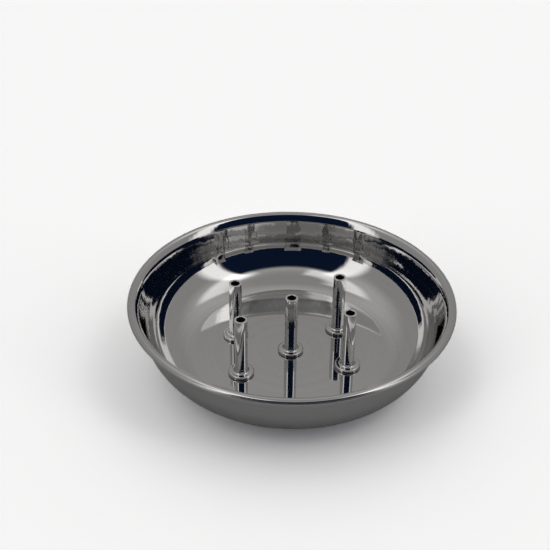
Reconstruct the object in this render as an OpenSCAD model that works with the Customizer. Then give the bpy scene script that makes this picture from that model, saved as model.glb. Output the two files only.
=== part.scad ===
// Flower frog: a shallow stainless steel dish with five upright stem tubes on its floor.
// Millimetres, +Z up. The dish stands on Z = 0 and its axis is the Z axis.
// One tube stands in the centre and four on the corners of a rectangle around it,
// which are four of the six corners of a hexagon. Flower stems drop into the tubes,
// and the dish holds the water that covers their feet.
// Each tube is pressed over the spigot of a turned foot collar. A screw from beneath
// draws the collar down on the floor, and a rubber washer under it keeps the water in.
// A rubber ring under the floor lifts the screw heads clear of the table.

/* [Dish] */
// Outside diameter, over the curled lip
dish_d = 200; // [170:1:280]
// Depth inside, from the top of the lip to the flat floor
dish_depth = 43; // [36:0.5:60]
// Thickness of the steel sheet
sheet_t = 0.8; // [0.6:0.1:1.2]
// Lean of the straight wall, outward from upright, in degrees
wall_lean = 11.5; // [6:0.5:18]
// Inside radius of the bend between the floor and the wall
bend_r = 30; // [15:0.5:30]
// Radius of the soft flare at the top of the wall, inside the dish
flare_r = 10; // [6:0.5:14]
// Lean of the sheet where the flare runs into the lip, in degrees
flare_lean = 40; // [25:1:60]
// Outside radius of the curled lip
lip_r = 2.7; // [2:0.1:4]

/* [Stem tubes] */
// Outside diameter of a tube
tube_d = 8; // [7:0.1:10]
// Bore of a tube, which a stem drops into
bore_d = 5.5; // [4:0.1:5.5]
// Length of a tube
tube_len = 39.2; // [30:0.1:60]
// Chamfer on the edges of a tube's mouth
mouth_chamfer = 0.25; // [0.1:0.05:0.4]
// Bore at a tube's lower end, which is pressed over the collar's spigot
socket_d = 6; // [5.8:0.1:6.4]
// Clear floor between the outer collars and the start of the bend
stem_inset = 14.8; // [4:0.1:16]

/* [Foot collars] */
// Diameter of a collar
collar_d = 16; // [14:0.5:20]
// Thickness of a collar
collar_t = 2.2; // [2:0.1:4]
// Radius of a collar's rounded upper edge
collar_round = 0.9; // [0.3:0.1:1]
// Radius of a collar's rounded lower edge
collar_under_round = 0.4; // [0.2:0.1:0.6]
// Radius of the concave fillet that runs up to the tube
fillet_r = 1.4; // [0.8:0.1:2]
// Thickness of that fillet's edge where it meets the tube
fillet_lip = 0.2; // [0.1:0.05:0.4]
// Depth of the seat that the tube's end stands in
seat_depth = 0.8; // [0.4:0.1:1.2]
// Solid metal left over the screw's blind hole
spigot_cap = 2; // [1:0.5:4]

/* [Fixings] */
// Diameter of the screw's shank
screw_d = 3; // [2.5:0.5:3]
// Length of the screw under its head
screw_len = 8; // [8:1:10]
// Diameter of the screw's domed head
head_d = 5.7; // [5:0.1:6.5]
// Height of the screw's head
head_h = 1.65; // [1.4:0.05:1.8]
// Width across flats of the hexagon socket in the head
hex_w = 2; // [1.5:0.5:2]
// Depth of the hexagon socket
hex_depth = 1; // [0.6:0.1:1.2]
// Diameter of the backing washer and of the rubber washer
washer_d = 9; // [8:0.5:12]
// Thickness of the steel backing washer
washer_t = 0.8; // [0.5:0.1:1]
// Thickness of the rubber washer
seal_t = 1; // [0.6:0.1:1.2]

/* [Base ring] */
// Height of the rubber ring, from the table to the underside of the floor
ring_h = 5; // [4.5:0.1:8]
// Width of the ring, from its inside to its outside
ring_w = 7; // [5:0.5:7]
// Distance of the ring's outside from the start of the bend
ring_inset = 2; // [0:0.5:3]
// Radius of the ring's rounded edges at the table
ring_round = 1; // [0.5:0.1:2]

/* [Clearances] */
// Gap all round between a tube and the spigot and seat that it fits
tube_gap = 0.05; // [0.02:0.01:0.1]
// Gap between the tube's inner shoulder and the top of the spigot
shoulder_gap = 0.1; // [0.05:0.05:0.3]
// Gap all round between the screw and its threaded hole, modelled plain
thread_gap = 0.05; // [0.02:0.01:0.1]
// Gap all round between the screw and what it passes through
screw_gap = 0.2; // [0.1:0.05:0.3]
// Room left past the screw's tip in its blind hole
screw_runout = 1; // [0.5:0.5:2]

/* [Hidden] */
$fn = 96;
dish_fn = 240;

// Heights of the floor's two faces, of the lip's top, and of the screw head's seat
floor_under_z = ring_h;
floor_z = floor_under_z + sheet_t;
rim_z = floor_z + dish_depth;
head_z = floor_under_z - seal_t - washer_t;

// Section of the dish: centres of the lip's curl and of the flare, length of the straight
// wall between the bend and the flare, radius of the flat floor, and centre of the bend
lip_c = [dish_d / 2 - lip_r, rim_z - lip_r];
flare_c = lip_c + (flare_r - lip_r) * [cos(flare_lean), -sin(flare_lean)];
wall_len = (flare_c[1] - floor_z - bend_r + (bend_r + flare_r) * sin(wall_lean)) / cos(wall_lean);
floor_r = flare_c[0] - (bend_r + flare_r) * cos(wall_lean) - wall_len * sin(wall_lean);
bend_c = [floor_r, floor_z + bend_r];
bend_steps = 28;
flare_steps = 8;
lip_steps = 14;

// Places of the five stems: the outer four lie on a circle, 60 degrees apart at each side
ring_r = floor_r - stem_inset - collar_d / 2;
SPOTS = ["centre", "back_right", "back_left", "front_left", "front_right"];
spot_angles = [0, 30, 150, 210, 330];
spots = [for (i = [0 : len(SPOTS) - 1])
    i == 0 ? [0, 0, 0] : ring_r * [cos(spot_angles[i]), sin(spot_angles[i]), 0]];

// Parts of the foot
seat_z = collar_t - seat_depth;
grip = washer_t + seal_t + sheet_t;
screw_hole_h = screw_len - grip + screw_runout;
spigot_top = screw_hole_h + spigot_cap;
spigot_r = socket_d / 2 - tube_gap;
socket_depth = spigot_top - seat_z + shoulder_gap;
collar_bore_r = tube_d / 2 + tube_gap;
fillet_foot_r = collar_bore_r + fillet_lip + fillet_r;
thread_r = screw_d / 2 + thread_gap;
pass_r = screw_d / 2 + screw_gap;
head_dome_r = (pow(head_d / 2, 2) + head_h * head_h) / (2 * head_h);

// ---- The sheet metal dish ----

// Points along an arc of a circle, from one angle to another. An arc that goes on from the
// end of another leaves out its own first point.
function arc(centre, radius, from, to, steps, goes_on = false) = [
    for (i = [goes_on ? 1 : 0 : steps])
        let (a = from + (to - from) * i / steps) centre + radius * [cos(a), sin(a)]];

// One face of the sheet, from the axis to the lip's free edge. It is the inner face, or the
// face that lies the given depth under it.
function dish_face(depth) = concat(
    [[0, floor_z - depth]],
    arc(bend_c, bend_r + depth, -90, -wall_lean, bend_steps),
    arc(flare_c, flare_r - depth, 180 - wall_lean, 180 - flare_lean, flare_steps),
    arc(lip_c, lip_r - depth, 180 - flare_lean, 0, lip_steps, goes_on = true));

function backwards(points) = [for (i = [len(points) - 1 : -1 : 0]) points[i]];

module dish() {
    color([0.72, 0.71, 0.70]) difference() {
        rotate_extrude($fn = dish_fn) polygon(concat(dish_face(0), backwards(dish_face(sheet_t))));
        for (p = spots) translate(p + [0, 0, floor_under_z - 1]) cylinder(r = pass_r, h = sheet_t + 2);
    }
}

// ---- The rubber ring under the floor ----

module base_ring() {
    outer = floor_r - ring_inset;
    inner = outer - ring_w;
    color([0.09, 0.09, 0.10]) rotate_extrude($fn = dish_fn) {
        translate([inner, ring_round]) square([ring_w, ring_h - ring_round]);
        translate([inner + ring_round, 0]) square([ring_w - 2 * ring_round, ring_round]);
        for (r = [inner + ring_round, outer - ring_round]) translate([r, ring_round]) circle(r = ring_round);
    }
}

// ---- One stem: the tube and its foot, each drawn standing on the floor at Z = 0 ----

module stem_tube() {
    outer = tube_d / 2;
    bore = bore_d / 2;
    socket = socket_d / 2;
    top = seat_z + tube_len;
    shoulder = seat_z + socket_depth;
    color([0.80, 0.79, 0.78]) rotate_extrude() polygon([
        [socket, seat_z],
        [outer, seat_z],
        [outer, top - mouth_chamfer],
        [outer - mouth_chamfer, top],
        [bore + mouth_chamfer, top],
        [bore, top - mouth_chamfer],
        [bore, shoulder],
        [socket, shoulder]]);
}

module collar_flange_section() {
    edge = collar_d / 2;
    square([edge - collar_round, collar_t]);
    translate([0, collar_under_round])
        square([edge, collar_t - collar_round - collar_under_round]);
    translate([edge - collar_round, collar_t - collar_round]) circle(r = collar_round);
    translate([edge - collar_under_round, collar_under_round]) circle(r = collar_under_round);
}

module collar_fillet_section() {
    difference() {
        square([fillet_foot_r, collar_t + fillet_r]);
        translate([fillet_foot_r, collar_t + fillet_r]) circle(r = fillet_r);
    }
}

module foot_collar() {
    color([0.76, 0.75, 0.74]) rotate_extrude() difference() {
        union() {
            collar_flange_section();
            collar_fillet_section();
            square([spigot_r, spigot_top]);
        }
        translate([spigot_r, seat_z]) square([collar_bore_r - spigot_r, spigot_top]);
        square([thread_r, screw_hole_h]);
    }
}

// ---- The fixings beneath, drawn with the floor's underside at Z = 0 ----

module washer(thickness) {
    difference() {
        cylinder(d = washer_d, h = thickness);
        translate([0, 0, -1]) cylinder(r = pass_r, h = thickness + 2);
    }
}

module sealing_washer() {
    color([0.10, 0.10, 0.11]) translate([0, 0, -seal_t]) washer(seal_t);
}

module backing_washer() {
    color([0.66, 0.66, 0.65]) translate([0, 0, -seal_t - washer_t]) washer(washer_t);
}

module fixing_screw() {
    color([0.60, 0.60, 0.59]) translate([0, 0, -seal_t - washer_t]) difference() {
        union() {
            cylinder(d = screw_d, h = screw_len);
            rotate([180, 0, 0]) rotate_extrude() intersection() {
                translate([0, head_h - head_dome_r]) circle(r = head_dome_r);
                square([head_d, head_h]);
            }
        }
        translate([0, 0, -head_h - 1]) cylinder(d = hex_w / cos(30), h = hex_depth + 1, $fn = 6);
    }
}

// ---- The assembly ----

dish();
base_ring();
for (i = [0 : len(SPOTS) - 1]) {
    translate(spots[i] + [0, 0, floor_z]) stem_tube();
    translate(spots[i] + [0, 0, floor_z]) foot_collar();
    translate(spots[i] + [0, 0, floor_under_z]) sealing_washer();
    translate(spots[i] + [0, 0, floor_under_z]) backing_washer();  // backing_washers
    translate(spots[i] + [0, 0, floor_under_z]) fixing_screw();  // fixing_screws
}
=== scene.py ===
import math

import bmesh
import bpy
from mathutils import Matrix, Vector


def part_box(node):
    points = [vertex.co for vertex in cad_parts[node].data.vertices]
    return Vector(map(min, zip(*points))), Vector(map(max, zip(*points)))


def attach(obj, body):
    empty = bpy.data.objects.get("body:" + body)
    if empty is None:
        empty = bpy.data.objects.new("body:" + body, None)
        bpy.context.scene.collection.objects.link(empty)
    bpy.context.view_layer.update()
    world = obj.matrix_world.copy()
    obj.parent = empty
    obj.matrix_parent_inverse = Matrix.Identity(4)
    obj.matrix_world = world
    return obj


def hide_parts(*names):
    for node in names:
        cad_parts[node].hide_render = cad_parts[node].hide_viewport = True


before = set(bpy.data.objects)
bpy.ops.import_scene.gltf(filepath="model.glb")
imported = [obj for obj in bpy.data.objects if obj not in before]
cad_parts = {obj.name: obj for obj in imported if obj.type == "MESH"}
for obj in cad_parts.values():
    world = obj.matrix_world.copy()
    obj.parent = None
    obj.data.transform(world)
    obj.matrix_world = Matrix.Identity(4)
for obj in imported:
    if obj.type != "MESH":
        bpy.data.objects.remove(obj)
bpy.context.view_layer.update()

MM = 0.001
MICRON = 1e-6
HAIR = 0.01 * MM
DISH_TURN_STEPS = 320
SHEET = 0.8 * MM
BEND_RADIUS = 30 * MM
WALL_LEAN = 11.5
FLARE_RADIUS = 10 * MM
FLARE_LEAN = 40
LIP_RADIUS = 2.7 * MM
SCREW_HOLE_RADIUS = 1.7 * MM
HOLE_TURN_STEPS = 48
FLOOR_EDGE_SHARE = 0.99
CREASE = math.radians(35)

dish_low, dish_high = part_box("dish")
dish_radius = dish_high.x
floor_under = dish_low.z
floor_top = floor_under + SHEET
rim_top = dish_high.z

STEM_NAMES = ("centre", "back_right", "back_left", "front_left", "front_right")
stem_places = {}
for stem in STEM_NAMES:
    low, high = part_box("stem_tube_" + stem)
    stem_places[stem] = Vector(((low.x + high.x) / 2, (low.y + high.y) / 2, 0))


def arc(centre, radius, start, end, pieces):
    """Points (distance from the axis, height) along an arc, between two angles in degrees."""
    points = []
    for i in range(pieces + 1):
        angle = math.radians(start + (end - start) * i / pieces)
        points.append((centre[0] + radius * math.cos(angle), centre[1] + radius * math.sin(angle)))
    return points


def spin_outline(bm, outline, steps, closed=True):
    """Spins an outline of points (distance from the axis, height) right round Z."""
    verts = [bm.verts.new((r, 0, z)) for r, z in outline]
    edges = [bm.edges.new(pair) for pair in zip(verts, verts[1:])]
    if closed:
        edges.append(bm.edges.new((verts[-1], verts[0])))
    bmesh.ops.spin(
        bm, geom=verts + edges, cent=(0, 0, 0), axis=(0, 0, 1), dvec=(0, 0, 0),
        angle=math.tau, steps=steps, use_merge=True, use_duplicate=False)
    bmesh.ops.remove_doubles(bm, verts=bm.verts[:], dist=1e-6)
    bmesh.ops.recalc_face_normals(bm, faces=bm.faces[:])


def finish_piece(name, bm, materials, replaced, axes=((0, 0, 0),)):
    """Makes the object of a finished bmesh, and ties it to its body, slot and CAD nodes.

    Each point also keeps its place from the nearest of the piece's own upright axes, for
    turned finishes."""
    mesh = bpy.data.meshes.new(name)
    bm.to_mesh(mesh)
    bm.free()
    mesh.shade_smooth()
    mesh.set_sharp_from_angle(angle=CREASE)
    for material in materials:
        mesh.materials.append(material)
    axes = [Vector(axis) for axis in axes]
    own_place = mesh.attributes.new("own_place", "FLOAT_VECTOR", "POINT")
    for vertex, value in zip(mesh.vertices, own_place.data):
        nearest = min(axes, key=lambda axis: (vertex.co.xy - axis.xy).length)
        value.vector = vertex.co - nearest
    piece = bpy.data.objects.new(name, mesh)
    bpy.context.scene.collection.objects.link(piece)
    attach(piece, "root")
    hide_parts(*replaced)
    return piece


def dish_face(offset, bend_pieces, flare_pieces, lip_pieces):
    """One face of the sheet, from the floor out to the lip's free edge.

    The offset is 0 for the inside and SHEET for the outside."""
    lean = math.radians(WALL_LEAN)
    flare_lean = math.radians(FLARE_LEAN)
    flare_reach = FLARE_RADIUS - LIP_RADIUS
    lip_centre = (dish_radius - LIP_RADIUS, rim_top - LIP_RADIUS)
    flare_centre = (
        lip_centre[0] + flare_reach * math.cos(flare_lean),
        lip_centre[1] - flare_reach * math.sin(flare_lean))
    bend_height = floor_top + BEND_RADIUS
    wall_height = flare_centre[1] - bend_height + (BEND_RADIUS + FLARE_RADIUS) * math.sin(lean)
    bend_distance = flare_centre[0] - (BEND_RADIUS + FLARE_RADIUS) * math.cos(lean)
    bend_distance -= wall_height * math.tan(lean)
    bend = arc((bend_distance, bend_height), BEND_RADIUS + offset, -90, -WALL_LEAN, bend_pieces)
    flare = arc(flare_centre, FLARE_RADIUS - offset, 180 - WALL_LEAN, 180 - FLARE_LEAN, flare_pieces)
    lip = arc(lip_centre, LIP_RADIUS - offset, 180 - FLARE_LEAN, 0, lip_pieces)
    foot = Vector(bend[-1])
    wall = [tuple(foot.lerp(Vector(flare[0]), share)) for share in (0.02, 0.25, 0.5, 0.75, 0.98)]
    return [(bend_distance * FLOOR_EDGE_SHARE, floor_top - offset)] + bend + wall + flare + lip[1:]


def fill_floor(bm, height):
    """Fills the flat floor at one height, from the spun ring in to the rims of the five screw holes."""
    rims = [e for e in bm.edges if e.is_boundary or e.is_wire]
    rims = [e for e in rims if all(abs(v.co.z - height) < HAIR for v in e.verts)]
    bmesh.ops.triangle_fill(bm, edges=rims, use_beauty=True, use_dissolve=False, normal=(0, 0, 1))


dish_mesh = bmesh.new()
inner_face = dish_face(0, bend_pieces=64, flare_pieces=16, lip_pieces=24)
outer_face = dish_face(SHEET, bend_pieces=44, flare_pieces=8, lip_pieces=18)
spin_outline(dish_mesh, inner_face + outer_face[::-1], DISH_TURN_STEPS, closed=False)
for place in stem_places.values():
    for height in (floor_top, floor_under):
        bmesh.ops.create_circle(
            dish_mesh, segments=HOLE_TURN_STEPS, radius=SCREW_HOLE_RADIUS,
            matrix=Matrix.Translation(place + Vector((0, 0, height))))
fill_floor(dish_mesh, floor_top)
fill_floor(dish_mesh, floor_under)
for place in stem_places.values():
    rims = [e for e in dish_mesh.edges if e.is_boundary]
    rims = [e for e in rims if (e.verts[0].co.xy - place.xy).length < SCREW_HOLE_RADIUS + HAIR]
    bmesh.ops.bridge_loops(dish_mesh, edges=rims)
bmesh.ops.recalc_face_normals(dish_mesh, faces=dish_mesh.faces[:])


def add(tree, kind, inputs, **settings):
    """Adds a node to a material's tree. Each input is a value, or the output socket that feeds it."""
    made = tree.nodes.new(kind)
    for key, value in settings.items():
        setattr(made, key, value)
    for key, value in inputs.items():
        if isinstance(value, bpy.types.NodeSocket):
            tree.links.new(value, made.inputs[key])
        else:
            made.inputs[key].default_value = value
    return made


def math_node(tree, operation, *values):
    """One step of arithmetic on values and sockets."""
    return add(tree, "ShaderNodeMath", dict(enumerate(values)), operation=operation).outputs[0]


def noise(tree, place, scale, detail=2.0, roughness=0.5):
    """A soft uneven pattern between 0 and 1; the scale is in lumps to the metre."""
    inputs = {"Vector": place, "Scale": scale, "Detail": detail, "Roughness": roughness}
    return add(tree, "ShaderNodeTexNoise", inputs).outputs["Fac"]


def spread(tree, value, low, high, to_low, to_high):
    """Maps a value from one range on to another, held at the ends."""
    inputs = {0: value, 1: low, 2: high, 3: to_low, 4: to_high}
    return add(tree, "ShaderNodeMapRange", inputs).outputs[0]


def new_material(name, colour, metallic, roughness):
    """A material with one Principled shader, and the places that its patterns read."""
    material = bpy.data.materials.new(name)
    material.use_nodes = True
    tree = material.node_tree
    shader = tree.nodes["Principled BSDF"]
    shader.inputs["Base Color"].default_value = (*colour, 1)
    shader.inputs["Metallic"].default_value = metallic
    shader.inputs["Roughness"].default_value = roughness
    whole = add(tree, "ShaderNodeTexCoord", {}).outputs["Object"]
    own = add(tree, "ShaderNodeAttribute", {}, attribute_name="own_place").outputs["Vector"]
    return material, tree, shader, whole, own


def turned_place(tree, own):
    """A place that is the same all round the axis: (distance from the axis, 0, height)."""
    parts = add(tree, "ShaderNodeSeparateXYZ", {"Vector": own}).outputs
    flat = add(tree, "ShaderNodeCombineXYZ", {"X": parts["X"], "Y": parts["Y"]}).outputs[0]
    length = add(tree, "ShaderNodeVectorMath", {0: flat}, operation="LENGTH").outputs["Value"]
    return add(tree, "ShaderNodeCombineXYZ", {"X": length, "Z": parts["Z"]}).outputs[0]


def bump(tree, shader, layers):
    """Bumps a shader's normal with layers of (height from 0 to 1, depth in metres)."""
    normal = None
    for height, depth in layers:
        inputs = {"Height": height, "Distance": depth, "Strength": 1.0}
        if normal is not None:
            inputs["Normal"] = normal
        normal = add(tree, "ShaderNodeBump", inputs).outputs[0]
    tree.links.new(normal, shader.inputs["Normal"])


def shade(tree, shader, colour, factor):
    """Darkens the shader's colour by a factor that varies over the surface."""
    inputs = {0: colour, "Scale": factor}
    scaled = add(tree, "ShaderNodeVectorMath", inputs, operation="SCALE").outputs[0]
    tree.links.new(scaled, shader.inputs["Base Color"])


HAZE_SCALE = 55.0
HAZY_PART = (0.3, 0.75)
WAVE_SCALE = 45.0
RIPPLE_SCALE = 130.0
RIPPLE_STRETCH = 0.25
RIPPLED_HEIGHTS = (14 * MM, 32 * MM)
SHADE_SHARE = 0.4
SHADED_PART = (0.3, 0.7)
MARK_SHADE = 0.94
SPECK_SCALE = 1100.0
SPECKED_PART = (0.82, 0.86)
# How dark the painted shade at the steel's foot gets.
PAINTED_FOOT_SHADE = 0.2


def steel(
        name, colour, roughness, haze, marks, mark_scale, waves,
        specks=0.0, ripples=0.0, painted_foot_shade=None):
    """Turned and buffed steel: rings of fine marks, slow waves, haze, and a few dark specks.

    Ripples run up the walls, where the sheet was pressed. Marks, waves and ripples are given
    as depths. A painted shade darkens the corner at the steel's foot, where it meets the floor,
    and fades out between two heights."""
    material, tree, shader, whole, own = new_material(name, colour, 1.0, roughness)
    turned = turned_place(tree, own)
    fine = noise(tree, turned, mark_scale, detail=2.0)
    broad = noise(tree, whole, WAVE_SCALE, detail=1.0)
    cloudy = noise(tree, whole, HAZE_SCALE, detail=5.0, roughness=0.6)
    hazy = math_node(tree, "MULTIPLY", spread(tree, cloudy, *HAZY_PART, 0.0, 1.0), haze)
    tree.links.new(math_node(tree, "ADD", hazy, roughness), shader.inputs["Roughness"])
    layers = [(fine, marks), (broad, waves)]
    if ripples:
        stretch = {"Vector": whole, "Scale": (1.0, 1.0, RIPPLE_STRETCH)}
        upright = add(tree, "ShaderNodeMapping", stretch).outputs[0]
        height = add(tree, "ShaderNodeSeparateXYZ", {"Vector": whole}).outputs["Z"]
        on_wall = spread(tree, height, *RIPPLED_HEIGHTS, 0.0, 1.0)
        rippled = math_node(tree, "MULTIPLY", noise(tree, upright, RIPPLE_SCALE), on_wall)
        layers.append((rippled, ripples))
    bump(tree, shader, layers)
    shaded = noise(tree, turned, mark_scale * SHADE_SHARE)
    shadow = spread(tree, shaded, *SHADED_PART, 1.0, MARK_SHADE)
    if specks:
        dots = noise(tree, whole, SPECK_SCALE, detail=0.0)
        dots = spread(tree, dots, *SPECKED_PART, 1.0, 1.0 - specks)
        shadow = math_node(tree, "MULTIPLY", shadow, dots)
    # Painted shade: the colour darkens towards the steel's foot, where it meets the floor, and fades out
    # above.
    if painted_foot_shade:
        height = add(tree, "ShaderNodeSeparateXYZ", {"Vector": whole}).outputs["Z"]
        unshaded_above = spread(tree, height, *painted_foot_shade, PAINTED_FOOT_SHADE, 1.0)
        shadow = math_node(tree, "MULTIPLY", shadow, unshaded_above)
    shade(tree, shader, colour, shadow)
    return material


MIRROR, LIP, SATIN = 0, 1, 2
STEEL_COLOUR = (0.62, 0.615, 0.61)
SATIN_COLOUR = (0.56, 0.555, 0.55)
mirror_steel = steel(
    "mirror_steel", STEEL_COLOUR, roughness=0.03, haze=0.03, marks=0.25 * MICRON, mark_scale=600,
    waves=40 * MICRON, specks=0.5, ripples=140 * MICRON)
lip_steel = steel(
    "lip_steel", STEEL_COLOUR, roughness=0.05, haze=0.05, marks=0.5 * MICRON, mark_scale=900,
    waves=12 * MICRON)
satin_steel = steel(
    "satin_steel", SATIN_COLOUR, roughness=0.30, haze=0.10, marks=2 * MICRON, mark_scale=1500,
    waves=20 * MICRON, specks=0.4)

lip_foot = rim_top - LIP_RADIUS * (1 - math.sin(math.radians(FLARE_LEAN)))
for face in dish_mesh.faces:
    middle = face.calc_center_median()
    outward = Vector((middle.x, middle.y, 0)).dot(face.normal)
    if middle.z > lip_foot - HAIR:
        face.material_index = LIP
    elif outward > 0 or face.normal.z < -0.5:
        face.material_index = SATIN
    else:
        face.material_index = MIRROR
finish_piece(
    "dish_sheet", dish_mesh, (mirror_steel, lip_steel, satin_steel), ["dish"])

# ---- Base ring ---------------------------------------------------------------------------
# A moulded ring of black rubber, stuck under the floor. It lifts the screw heads off the
# table and grips it: its rounded foot has three moulded grooves.
RING_TURN_STEPS = 240
RING_WIDTH = 7 * MM
RING_ROUND = 1 * MM
RING_TOP_ROUND = 0.3 * MM
GROOVE_RADIUS = 0.35 * MM
GROOVES = 3

ring_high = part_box("base_ring")[1]
ring_outer = ring_high.x
ring_inner = ring_outer - RING_WIDTH
top_round_height = ring_high.z - RING_TOP_ROUND

ring_outline = arc((ring_outer - RING_TOP_ROUND, top_round_height), RING_TOP_ROUND, 90, 0, 4)
ring_outline += arc((ring_outer - RING_ROUND, RING_ROUND), RING_ROUND, 0, -90, 8)
for i in reversed(range(GROOVES)):
    groove_place = ring_inner + RING_WIDTH * (i + 1) / (GROOVES + 1)
    ring_outline += arc((groove_place, 0), GROOVE_RADIUS, 0, 180, 8)
ring_outline += arc((ring_inner + RING_ROUND, RING_ROUND), RING_ROUND, -90, -180, 8)
ring_outline += arc((ring_inner + RING_TOP_ROUND, top_round_height), RING_TOP_ROUND, 180, 90, 4)

ring_mesh = bmesh.new()
spin_outline(ring_mesh, ring_outline, RING_TURN_STEPS)

GRAIN_SCALE = 2500.0
GRAIN_DEPTH = 0.03 * MM
DUST_SCALE = 120.0
DUSTY_PART = (0.45, 0.75)
DUST_SHADE = 1.9
DUST_ROUGHNESS = 0.08


def rubber(name, colour, roughness):
    """Moulded rubber: a fine even grain, and a bloom of grey dust in patches."""
    material, tree, shader, whole, own = new_material(name, colour, 0.0, roughness)
    grain = noise(tree, whole, GRAIN_SCALE, detail=3.0)
    patches = noise(tree, whole, DUST_SCALE, detail=4.0)
    bump(tree, shader, [(grain, GRAIN_DEPTH)])
    smoothest, dullest = roughness - DUST_ROUGHNESS, roughness + DUST_ROUGHNESS
    dull = spread(tree, patches, *SHADED_PART, smoothest, dullest)
    tree.links.new(dull, shader.inputs["Roughness"])
    shade(tree, shader, colour, spread(tree, patches, *DUSTY_PART, 1.0, DUST_SHADE))
    return material


RING_COLOUR = (0.018, 0.018, 0.019)
ring_rubber = rubber("ring_rubber", RING_COLOUR, roughness=0.55)
finish_piece("rubber_ring", ring_mesh, (ring_rubber,), ["base_ring"])

# ---- Foot collars ------------------------------------------------------------------------
# A turned and polished steel flange for each stem. Its top runs up to the tube in a concave
# fillet, the tube's end sits in a seat round the spigot, and a blind hole takes the screw.
COLLAR_THICKNESS = 2.2 * MM
COLLAR_ROUND = 0.9 * MM
COLLAR_UNDER_ROUND = 0.4 * MM
FILLET_RADIUS = 1.4 * MM
FILLET_LIP = 0.2 * MM
SEAT_DEPTH = 0.8 * MM
# The height over which the painted shade at the collar's foot fades out.
PAINTED_SHADE_HEIGHT = 1.3 * MM
TUBE_RADIUS = 4 * MM
TUBE_GAP = 0.05 * MM
SPIGOT_RADIUS = 2.95 * MM
SPIGOT_TOP = 8.4 * MM
SPIGOT_CHAMFER = 0.4 * MM
SCREW_HOLE_HEIGHT = 6.4 * MM
DRILL_POINT = 0.8 * MM
HOLE_CHAMFER = 0.3 * MM
THREAD_RADIUS = 1.55 * MM
STEM_TURN_STEPS = 96

collar_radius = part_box("foot_collar_centre")[1].x
seat_height = COLLAR_THICKNESS - SEAT_DEPTH
collar_bore = TUBE_RADIUS + TUBE_GAP
fillet_foot = collar_bore + FILLET_LIP + FILLET_RADIUS
fillet_top = COLLAR_THICKNESS + FILLET_RADIUS
under_round = (collar_radius - COLLAR_UNDER_ROUND, COLLAR_UNDER_ROUND)
top_round = (collar_radius - COLLAR_ROUND, COLLAR_THICKNESS - COLLAR_ROUND)

collar_outline = [(0, SCREW_HOLE_HEIGHT), (THREAD_RADIUS, SCREW_HOLE_HEIGHT - DRILL_POINT)]
collar_outline += [(THREAD_RADIUS, HOLE_CHAMFER), (THREAD_RADIUS + HOLE_CHAMFER, 0)]
collar_outline += arc(under_round, COLLAR_UNDER_ROUND, -90, 0, 6)
collar_outline += arc(top_round, COLLAR_ROUND, 0, 90, 14)
collar_outline += arc((fillet_foot, fillet_top), FILLET_RADIUS, 270, 180, 16)
collar_outline += [(collar_bore, fillet_top), (collar_bore, seat_height)]
collar_outline += [(SPIGOT_RADIUS, seat_height), (SPIGOT_RADIUS, SPIGOT_TOP - SPIGOT_CHAMFER)]
collar_outline += [(SPIGOT_RADIUS - SPIGOT_CHAMFER, SPIGOT_TOP), (0, SPIGOT_TOP)]


def stem_pieces(name, outline, materials, node_name, lift):
    """The same turned piece on each of the five stems, its outline raised by the lift."""
    for stem, place in stem_places.items():
        bm = bmesh.new()
        spin_outline(bm, outline, STEM_TURN_STEPS, closed=outline[0][0] > 0)
        bmesh.ops.translate(bm, verts=bm.verts[:], vec=place + Vector((0, 0, lift)))
        finish_piece(name + "_" + stem, bm, materials, [node_name + "_" + stem], axes=[place])


# The collars get a painted shade at their foot, darkest where they meet the floor.
collar_steel = steel(
    "collar_steel", STEEL_COLOUR, roughness=0.05, haze=0.03, marks=0.2 * MICRON, mark_scale=2000,
    waves=2 * MICRON, painted_foot_shade=(floor_top, floor_top + PAINTED_SHADE_HEIGHT))
stem_pieces("collar", collar_outline, (collar_steel,), "foot_collar", floor_top)

# ---- Stem tubes --------------------------------------------------------------------------
# Five lengths of drawn stainless tube, polished outside, that the flower stems drop into.
# Each is pressed over its collar's spigot. The mouth is deburred and the bore left dull, its colour
# darkened as painted shade.
BORE_RADIUS = 2.75 * MM
SOCKET_RADIUS = 3 * MM
SHOULDER_HEIGHT = 8.5 * MM
MOUTH_ROUND = 0.25 * MM
MOUTH_DEPTH = 4 * MM

tube_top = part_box("stem_tube_centre")[1].z - floor_top
tube_length = tube_top - seat_height

tube_outline = [(SOCKET_RADIUS, seat_height), (TUBE_RADIUS, seat_height)]
tube_outline += [(TUBE_RADIUS, seat_height + tube_length * share) for share in (0.25, 0.5, 0.75)]
tube_outline += arc((TUBE_RADIUS - MOUTH_ROUND, tube_top - MOUTH_ROUND), MOUTH_ROUND, 0, 90, 6)
tube_outline += arc((BORE_RADIUS + MOUTH_ROUND, tube_top - MOUTH_ROUND), MOUTH_ROUND, 90, 180, 6)
tube_outline += [(BORE_RADIUS, tube_top - MOUTH_DEPTH)]
tube_outline += [(BORE_RADIUS, SHOULDER_HEIGHT), (SOCKET_RADIUS, SHOULDER_HEIGHT)]

BORE, CUT_END = 1, 2
CUT_COLOUR = (0.80, 0.795, 0.79)
# Painted shade: the bore's colour is set far darker than steel's own, for the shade inside the tube.
SHADED_BORE_COLOUR = (0.10, 0.10, 0.105)
tube_steel = steel(
    "tube_steel", STEEL_COLOUR, roughness=0.05, haze=0.03, marks=0.15 * MICRON, mark_scale=1800,
    waves=4 * MICRON)
cut_steel = steel(
    "cut_steel", CUT_COLOUR, roughness=0.32, haze=0.08, marks=1 * MICRON, mark_scale=3000,
    waves=1 * MICRON)
shaded_bore_steel = steel(
    "shaded_bore_steel", SHADED_BORE_COLOUR, roughness=0.45, haze=0.10, marks=3 * MICRON, mark_scale=2500,
    waves=4 * MICRON)

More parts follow.
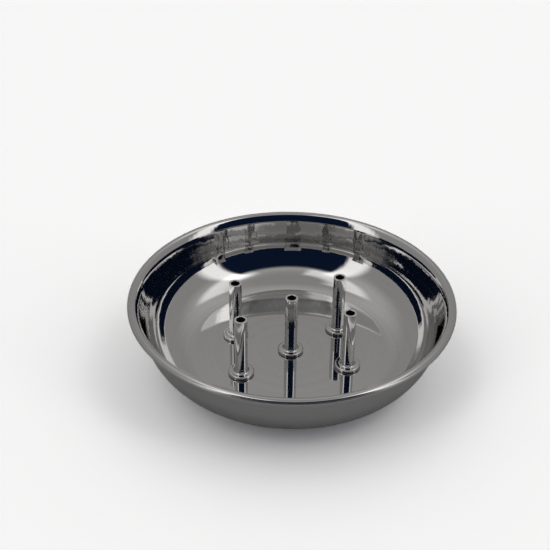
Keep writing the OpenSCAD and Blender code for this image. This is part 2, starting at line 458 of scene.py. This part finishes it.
for stem, place in stem_places.items():
    bm = bmesh.new()
    spin_outline(bm, tube_outline, STEM_TURN_STEPS)
    for face in bm.faces:
        middle = face.calc_center_median()
        if middle.z > tube_top - MOUTH_ROUND:
            face.material_index = CUT_END
        elif middle.xy.length < BORE_RADIUS + 2 * HAIR:
            face.material_index = BORE
    bmesh.ops.translate(bm, verts=bm.verts[:], vec=place + Vector((0, 0, floor_top)))
    finish_piece(
        "tube_" + stem, bm, (tube_steel, shaded_bore_steel, cut_steel),
        ["stem_tube_" + stem], axes=[place])

# ---- Sealing washers ---------------------------------------------------------------------
# A soft rubber washer under the floor at each screw keeps the water in. Squeezed by the
# screw, its rim bulges a little.
SEAL_THICKNESS = 1 * MM
SEAL_BULGE = 0.15 * MM

seal_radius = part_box("sealing_washer_centre")[1].x
bulge_radius = (SEAL_THICKNESS ** 2 / 4 + SEAL_BULGE ** 2) / (2 * SEAL_BULGE)
bulge_angle = math.degrees(math.asin(SEAL_THICKNESS / 2 / bulge_radius))
seal_outline = [(SCREW_HOLE_RADIUS, -SEAL_THICKNESS)]
seal_outline += arc(
    (seal_radius - bulge_radius, -SEAL_THICKNESS / 2), bulge_radius, -bulge_angle, bulge_angle, 8)
seal_outline += [(SCREW_HOLE_RADIUS, 0)]
SEAL_COLOUR = (0.022, 0.022, 0.024)
seal_rubber = rubber("seal_rubber", SEAL_COLOUR, roughness=0.48)
stem_pieces("seal", seal_outline, (seal_rubber,), "sealing_washer", floor_under)

# ---- Backing washers ---------------------------------------------------------------------
# A stamped steel washer over each rubber one spreads the screw's pull. Stamping rounds the
# edge on one face and leaves the other crisp.
WASHER_TURN_STEPS = 72
WASHER_RADIUS = 4.5 * MM
WASHER_THICKNESS = 0.8 * MM
STAMPED_ROUND = 0.25 * MM

washer_top = floor_under - SEAL_THICKNESS
washer_low = washer_top - WASHER_THICKNESS
washer_outline = [(SCREW_HOLE_RADIUS, washer_top), (SCREW_HOLE_RADIUS, washer_low + STAMPED_ROUND)]
washer_outline += arc(
    (SCREW_HOLE_RADIUS + STAMPED_ROUND, washer_low + STAMPED_ROUND), STAMPED_ROUND, 180, 270, 5)[1:]
washer_outline += arc(
    (WASHER_RADIUS - STAMPED_ROUND, washer_low + STAMPED_ROUND), STAMPED_ROUND, 270, 360, 5)
washer_outline += [(WASHER_RADIUS, washer_top)]


def copy_to_stems(bm):
    """Moves the one piece in a bmesh to the first stem's place, and adds a copy at each of the others."""
    first, *others = stem_places.values()
    geometry = bm.verts[:] + bm.edges[:] + bm.faces[:]
    for place in others:
        made = bmesh.ops.duplicate(bm, geom=geometry)["geom"]
        verts = [v for v in made if isinstance(v, bmesh.types.BMVert)]
        bmesh.ops.translate(bm, verts=verts, vec=place - first)


washer_mesh = bmesh.new()
spin_outline(washer_mesh, washer_outline, WASHER_TURN_STEPS)
copy_to_stems(washer_mesh)
WASHER_COLOUR = (0.52, 0.52, 0.51)
washer_steel = steel(
    "washer_steel", WASHER_COLOUR, roughness=0.28, haze=0.14, marks=1.5 * MICRON,
    mark_scale=1800, waves=4 * MICRON)
finish_piece(
    "stamped_washers", washer_mesh, (washer_steel,), ["backing_washers"],
    axes=stem_places.values())

# ---- Fixing screws -----------------------------------------------------------------------
# Five small button head screws of stainless steel, driven from beneath with a 2 mm hexagon
# key into the collars. The heads are forged, so their domes are smooth and slightly dull.
SHANK_RADIUS = 1.5 * MM
SCREW_LENGTH = 8 * MM
HEAD_RADIUS = 2.85 * MM
HEAD_HEIGHT = 1.65 * MM
HEX_FLATS = 2 * MM
HEX_DEPTH = 1 * MM
HEX_CHAMFER = 0.12 * MM
HEX_STEPS = 48
TIP_CHAMFER = 0.3 * MM
NECK_FILLET = 0.15 * MM

dome_radius = (HEAD_RADIUS ** 2 + HEAD_HEIGHT ** 2) / (2 * HEAD_HEIGHT)
dome_centre = dome_radius - HEAD_HEIGHT
socket_rim = HEX_FLATS / math.sqrt(3) + HEX_CHAMFER
rim_angle = math.degrees(math.acos(socket_rim / dome_radius))
foot_angle = math.degrees(math.acos(HEAD_RADIUS / dome_radius))

# The head points down. Heights are from the washer's underside, and the socket is cut last.
screw_outline = [(0, SCREW_LENGTH), (SHANK_RADIUS - TIP_CHAMFER, SCREW_LENGTH)]
screw_outline += [(SHANK_RADIUS, SCREW_LENGTH - TIP_CHAMFER)]
screw_outline += [(SHANK_RADIUS, NECK_FILLET), (SHANK_RADIUS + NECK_FILLET, 0)]
screw_outline += arc((0, dome_centre), dome_radius, -foot_angle, -rim_angle, 16)

screw_mesh = bmesh.new()
spin_outline(screw_mesh, screw_outline, HEX_STEPS, closed=False)
rim = [e for e in screw_mesh.edges if e.is_boundary]


def push_rim(bm, rim, height, hexagon):
    """Extrudes a rim to a new height, as a hexagon if asked, and returns the new rim."""
    made = bmesh.ops.extrude_edge_only(bm, edges=rim)["geom"]
    for vert in (g for g in made if isinstance(g, bmesh.types.BMVert)):
        turn = math.atan2(vert.co.y, vert.co.x)
        if hexagon:
            off_flat = (turn + math.pi / 6) % (math.pi / 3) - math.pi / 6
            reach = HEX_FLATS / 2 / math.cos(off_flat)
            vert.co = (reach * math.cos(turn), reach * math.sin(turn), height)
        else:
            vert.co.z = height
    return [g for g in made if isinstance(g, bmesh.types.BMEdge)]


rim_height = min(v.co.z for e in rim for v in e.verts)
rim = push_rim(screw_mesh, rim, rim_height + HEX_CHAMFER, True)
rim = push_rim(screw_mesh, rim, HEX_DEPTH - HEAD_HEIGHT, True)
bmesh.ops.contextual_create(screw_mesh, geom=rim)
bmesh.ops.recalc_face_normals(screw_mesh, faces=screw_mesh.faces[:])
bmesh.ops.translate(screw_mesh, verts=screw_mesh.verts[:], vec=(0, 0, washer_low))
copy_to_stems(screw_mesh)
SCREW_COLOUR = (0.50, 0.50, 0.49)
screw_steel = steel(
    "screw_steel", SCREW_COLOUR, roughness=0.22, haze=0.12, marks=1 * MICRON,
    mark_scale=2500, waves=3 * MICRON)
finish_piece(
    "button_screws", screw_mesh, (screw_steel,), ["fixing_screws"],
    axes=stem_places.values())

# ---- Table and room ----------------------------------------------------------------------
# The dish stands on a plain pale table in the middle of a studio. The table looks white to
# the camera and grey in the steel, so the polished sides keep their depth.
TABLE_HALF = 4.0
TABLE_SEEN = (2.1, 2.1, 2.1, 1)
TABLE_REFLECTED = (0.62, 0.62, 0.62, 1)

table_mesh = bmesh.new()
bmesh.ops.create_grid(table_mesh, x_segments=1, y_segments=1, size=TABLE_HALF)
table_data = bpy.data.meshes.new("table")
table_mesh.to_mesh(table_data)
table_mesh.free()
table = bpy.data.objects.new("table", table_data)
bpy.context.scene.collection.objects.link(table)

table_top = bpy.data.materials.new("table_top")
table_top.use_nodes = True
tree = table_top.node_tree
tree.nodes.remove(tree.nodes["Principled BSDF"])
seen = add(tree, "ShaderNodeBsdfDiffuse", {"Color": TABLE_SEEN}).outputs[0]
reflected = add(tree, "ShaderNodeBsdfDiffuse", {"Color": TABLE_REFLECTED}).outputs[0]
to_camera = add(tree, "ShaderNodeLightPath", {}).outputs["Is Camera Ray"]
surface = add(tree, "ShaderNodeMixShader", {0: to_camera, 1: reflected, 2: seen}).outputs[0]
tree.links.new(surface, tree.nodes["Material Output"].inputs["Surface"])
table_data.materials.append(table_top)

# The room round it: grey walls with a paler band high up, a softbox high on each side, and a
# bright tall screen at each side of the dark space behind the camera. Turns are from the way
# to the camera and rises from level, in degrees: (from, to, width of the soft edge). A fade
# is (where it is 0, where it is 1).
WALL_LIGHT = 0.325
BAND_LIGHT = 0.17
BAND_RISE = (44, 66, 24)
SCREEN_LIGHT = 0.95
SCREEN_TURN = (50, 70, 10)
SCREEN_FADE = (72, 56)
LEFT_BOX_LIGHT = 0.60
LEFT_BOX_TURN = (-140, -30, 16)
LEFT_BOX_RISE = (60, 76, 8)
RIGHT_BOX_LIGHT = 0.55
RIGHT_BOX_TURN = (40, 122, 14)
RIGHT_BOX_RISE = (50, 66, 8)
DARK_TURN_FADE = (56, 50)
DARK_RISE_FADE = (63, 53)
DARK_COLOUR = (0.004, 0.010, 0.028, 1)
LIGHT_TINT = (1.01, 1.0, 0.99)
PALE = (0.97, 0.97, 0.97, 1)

world = bpy.data.worlds.new("room")
bpy.context.scene.world = world
world.use_nodes = True
tree = world.node_tree


def smooth(tree, value, low, high):
    """Runs smoothly from 0 at one value to 1 at another."""
    inputs = {0: value, 1: low, 2: high, 3: 0.0, 4: 1.0}
    return add(tree, "ShaderNodeMapRange", inputs, interpolation_type="SMOOTHSTEP").outputs[0]


def between(tree, value, low, high, soft):
    """Is 1 between two values and 0 outside them; soft is the width of each edge."""
    up = smooth(tree, value, low - soft / 2, low + soft / 2)
    down = smooth(tree, value, high + soft / 2, high - soft / 2)
    return math_node(tree, "MULTIPLY", up, down)


def product(tree, *values):
    """Multiplies values and sockets together."""
    result = values[0]
    for value in values[1:]:
        result = math_node(tree, "MULTIPLY", result, value)
    return result


def total(tree, *values):
    """Adds values and sockets up."""
    result = values[0]
    for value in values[1:]:
        result = math_node(tree, "ADD", result, value)
    return result


direction = add(tree, "ShaderNodeTexCoord", {}).outputs["Generated"]
ways = add(tree, "ShaderNodeSeparateXYZ", {"Vector": direction}).outputs
back_way = math_node(tree, "MULTIPLY", ways["Y"], -1.0)
turn = math_node(tree, "DEGREES", math_node(tree, "ARCTAN2", ways["X"], back_way))
rise = math_node(tree, "DEGREES", math_node(tree, "ARCSINE", ways["Z"]))
off_back = math_node(tree, "ABSOLUTE", turn)

walls = total(tree, WALL_LIGHT, product(tree, between(tree, rise, *BAND_RISE), BAND_LIGHT))
screen_edges = between(tree, off_back, *SCREEN_TURN)
screens = product(tree, screen_edges, smooth(tree, rise, *SCREEN_FADE), SCREEN_LIGHT)
left_edges = between(tree, turn, *LEFT_BOX_TURN)
left_box = product(tree, left_edges, between(tree, rise, *LEFT_BOX_RISE), LEFT_BOX_LIGHT)
right_edges = between(tree, turn, *RIGHT_BOX_TURN)
right_box = product(tree, right_edges, between(tree, rise, *RIGHT_BOX_RISE), RIGHT_BOX_LIGHT)
light = total(tree, walls, screens, left_box, right_box)
dark_side = smooth(tree, off_back, *DARK_TURN_FADE)
hidden = product(tree, dark_side, smooth(tree, rise, *DARK_RISE_FADE))
tinted = {0: LIGHT_TINT, "Scale": light}
lit_room = add(tree, "ShaderNodeVectorMath", tinted, operation="SCALE").outputs[0]
room_mix = {0: hidden, 6: lit_room, 7: DARK_COLOUR}
room = add(tree, "ShaderNodeMix", room_mix, data_type="RGBA").outputs[2]
to_camera = add(tree, "ShaderNodeLightPath", {}).outputs["Is Camera Ray"]
backdrop = add(tree, "ShaderNodeMix", {0: to_camera, 6: room, 7: PALE}, data_type="RGBA").outputs[2]
tree.links.new(backdrop, tree.nodes["Background"].inputs["Color"])

# ---- Camera ------------------------------------------------------------------------------
# It looks down into the dish from the front, a little to the left.
bpy.context.scene.view_settings.view_transform = "Standard"

CAMERA_PLACE = (-0.0779, -0.5449, 0.4375)
CAMERA_PAN = math.radians(7.053)
CAMERA_TILT = math.radians(34.231)
CAMERA_ROLL = math.radians(0.70)
CAMERA_LENS = 72.3
SENSOR_WIDTH = 36

camera_data = bpy.data.cameras.new("camera")
camera_data.lens = CAMERA_LENS
camera_data.sensor_width = SENSOR_WIDTH
camera = bpy.data.objects.new("camera", camera_data)
bpy.context.scene.collection.objects.link(camera)
camera.matrix_world = (
    Matrix.Translation(CAMERA_PLACE)
    @ Matrix.Rotation(-CAMERA_PAN, 4, "Z")
    @ Matrix.Rotation(math.pi / 2 - CAMERA_TILT, 4, "X")
    @ Matrix.Rotation(CAMERA_ROLL, 4, "Z"))
bpy.context.scene.camera = camera
